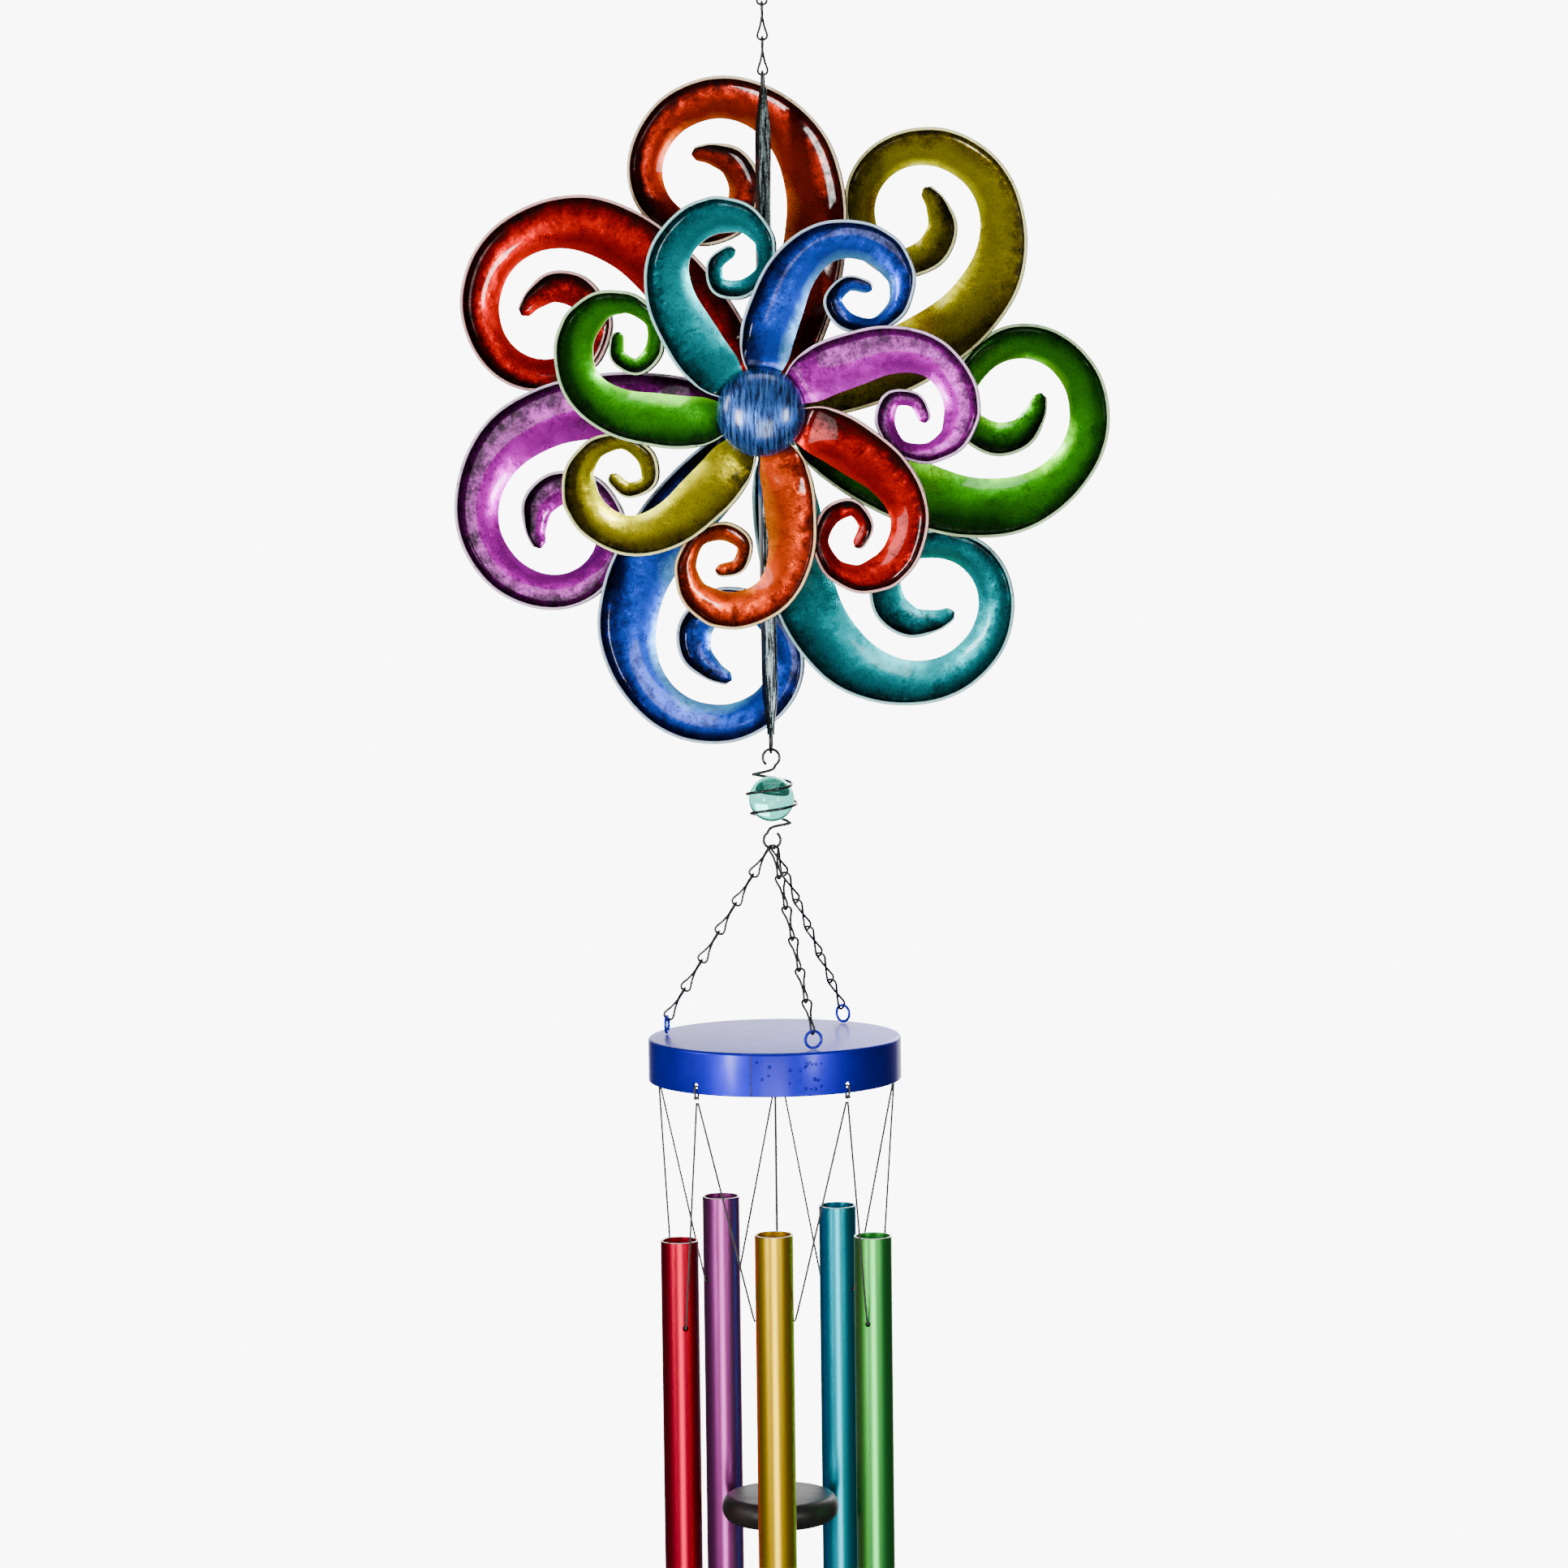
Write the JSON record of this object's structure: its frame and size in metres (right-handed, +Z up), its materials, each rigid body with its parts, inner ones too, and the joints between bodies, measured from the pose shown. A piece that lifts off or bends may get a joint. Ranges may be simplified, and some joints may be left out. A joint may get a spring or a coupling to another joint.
{
  "type": "hanging wind spinner with chimes",
  "caption": "Hanging wind spinner: two counter-turning rotors of scrolled petals on a crescent frame, with a caged marble and a tubular wind chime below.",
  "frame": {"origin": "the point inside the hook's upper bend where the sculpture hangs", "axes": "+Z up along the hanging line, -Y towards the front rotor and the viewer, +X to the viewer's right"},
  "size_m": [0.3295, 0.128, 0.9727],
  "materials": {
    "chain_steel": "satin",
    "frame_patina": "satin",
    "hub_steel": "satin",
    "bush_brass": "satin",
    "candy_green": "gloss",
    "candy_gold": "gloss",
    "candy_brown": "gloss",
    "candy_orange": "gloss",
    "candy_red": "gloss",
    "candy_magenta": "gloss",
    "candy_purple": "gloss",
    "candy_blue": "gloss",
    "candy_teal": "gloss",
    "brushed_blue": "gloss",
    "cage_wire_black": "satin",
    "marble_glass": "gloss",
    "drum_blue": "gloss",
    "black_cord": "matte",
    "tube_yellow": "satin",
    "tube_green": "satin",
    "tube_blue": "satin",
    "tube_purple": "satin",
    "tube_red": "satin",
    "clapper_black": "satin"
  },
  "bodies": {
    "hook": {"hanging_hook": "chain_steel"},
    "top_chain": {"top_chain_link_1": "chain_steel", "top_chain_link_2": "chain_steel", "top_chain_link_3": "chain_steel", "top_chain_link_4": "chain_steel"},
    "frame": {"top_ring": "chain_steel", "frame": "frame_patina", "axle": "hub_steel", "rear_end_nut": "hub_steel", "rear_washer": "hub_steel", "front_end_nut": "hub_steel", "front_washer": "hub_steel"},
    "rear_rotor": {"rear_hub_disc": "hub_steel", "rear_bush": "bush_brass", "rear_petal_green": "candy_green", "rear_petal_gold": "candy_gold", "rear_petal_brown": "candy_brown", "rear_petal_red": "candy_red", "rear_petal_purple": "candy_purple", "rear_petal_blue": "candy_blue", "rear_petal_teal": "candy_teal"},
    "front_rotor": {"front_hub_disc": "hub_steel", "front_bush": "bush_brass", "front_dome": "brushed_blue", "front_petal_magenta": "candy_magenta", "front_petal_blue": "candy_blue", "front_petal_teal": "candy_teal", "front_petal_green": "candy_green", "front_petal_gold": "candy_gold", "front_petal_orange": "candy_orange", "front_petal_red": "candy_red"},
    "lower_ring": {"bottom_ring": "chain_steel"},
    "cage": {"cage_wire": "cage_wire_black", "marble": "marble_glass"},
    "chime_drum": {"drum": "drum_blue", "drum_eye_1": "drum_blue", "drum_eye_2": "drum_blue", "drum_eye_3": "drum_blue", "support_chain_1": "chain_steel", "support_chain_2": "chain_steel", "support_chain_3": "chain_steel", "rim_knot_1": "black_cord", "rim_knot_2": "black_cord", "rim_knot_3": "black_cord", "rim_knot_4": "black_cord", "rim_knot_5": "black_cord"},
    "striker_swivel": {"striker_eye": "chain_steel"},
    "striker": {"striker_cord": "black_cord", "clapper": "clapper_black", "clapper_knot": "black_cord"},
    "chime_yellow": {"tube_yellow": "tube_yellow", "tube_cord_yellow": "black_cord"},
    "chime_green": {"tube_green": "tube_green", "tube_cord_green": "black_cord"},
    "chime_blue": {"tube_blue": "tube_blue", "tube_cord_blue": "black_cord"},
    "chime_purple": {"tube_purple": "tube_purple", "tube_cord_purple": "black_cord"},
    "chime_red": {"tube_red": "tube_red", "tube_cord_red": "black_cord"}
  },
  "joints": [
    {"name": "chain_swing", "type": "hinge", "parent": "hook", "child": "top_chain", "pos_m": [0, 0, -0.029], "axis": [0, 1, 0], "range_deg": [-30, 30]},
    {"name": "frame_swing", "type": "hinge", "parent": "top_chain", "child": "frame", "pos_m": [0, 0, -0.1061], "axis": [1, 0, 0], "range_deg": [-20, 20]},
    {"name": "rear_rotor_spin", "type": "hinge", "parent": "frame", "child": "rear_rotor", "pos_m": [0, 0, -0.2682], "axis": [0, 1, 0], "continuous": true},
    {"name": "front_rotor_spin", "type": "hinge", "parent": "frame", "child": "front_rotor", "pos_m": [0, 0, -0.2682], "axis": [0, 1, 0], "continuous": true},
    {"name": "lower_ring_swing", "type": "hinge", "parent": "frame", "child": "lower_ring", "pos_m": [0, 0, -0.4286], "axis": [1, 0, 0], "range_deg": [-10, 10]},
    {"name": "cage_swing", "type": "hinge", "parent": "lower_ring", "child": "cage", "pos_m": [0, 0, -0.43967], "axis": [0, 1, 0], "range_deg": [-20, 20]},
    {"name": "drum_swing", "type": "hinge", "parent": "cage", "child": "chime_drum", "pos_m": [0, 0, -0.48518], "axis": [1, 0, 0], "range_deg": [-10, 10]},
    {"name": "tube_yellow_swing", "type": "hinge", "parent": "chime_drum", "child": "chime_yellow", "pos_m": [0.00266, -0.05082, -0.60318], "axis": [-0.9986, -0.0523, 0], "range_deg": [-0.8, 22]},
    {"name": "tube_green_swing", "type": "hinge", "parent": "chime_drum", "child": "chime_green", "pos_m": [0.04915, -0.01317, -0.60318], "axis": [-0.2588, -0.9659, 0], "range_deg": [-0.8, 22]},
    {"name": "tube_blue_swing", "type": "hinge", "parent": "chime_drum", "child": "chime_blue", "pos_m": [0.02772, 0.04268, -0.60318], "axis": [0.8387, -0.5446, 0], "range_deg": [-0.8, 22]},
    {"name": "tube_purple_swing", "type": "hinge", "parent": "chime_drum", "child": "chime_purple", "pos_m": [-0.03202, 0.03955, -0.60318], "axis": [0.7771, 0.6293, 0], "range_deg": [-0.8, 22]},
    {"name": "tube_red_swing", "type": "hinge", "parent": "chime_drum", "child": "chime_red", "pos_m": [-0.04751, -0.01824, -0.60318], "axis": [-0.3584, 0.9336, 0], "range_deg": [-0.8, 22]},
    {"name": "striker_fore_aft", "type": "hinge", "parent": "chime_drum", "child": "striker_swivel", "pos_m": [0, 0, -0.58178], "axis": [1, 0, 0], "range_deg": [-1.5, 1.5]},
    {"name": "striker_sideways", "type": "hinge", "parent": "striker_swivel", "child": "striker", "pos_m": [0, 0, -0.58757], "axis": [0, 1, 0], "range_deg": [-1.5, 1.5]}
  ]
}
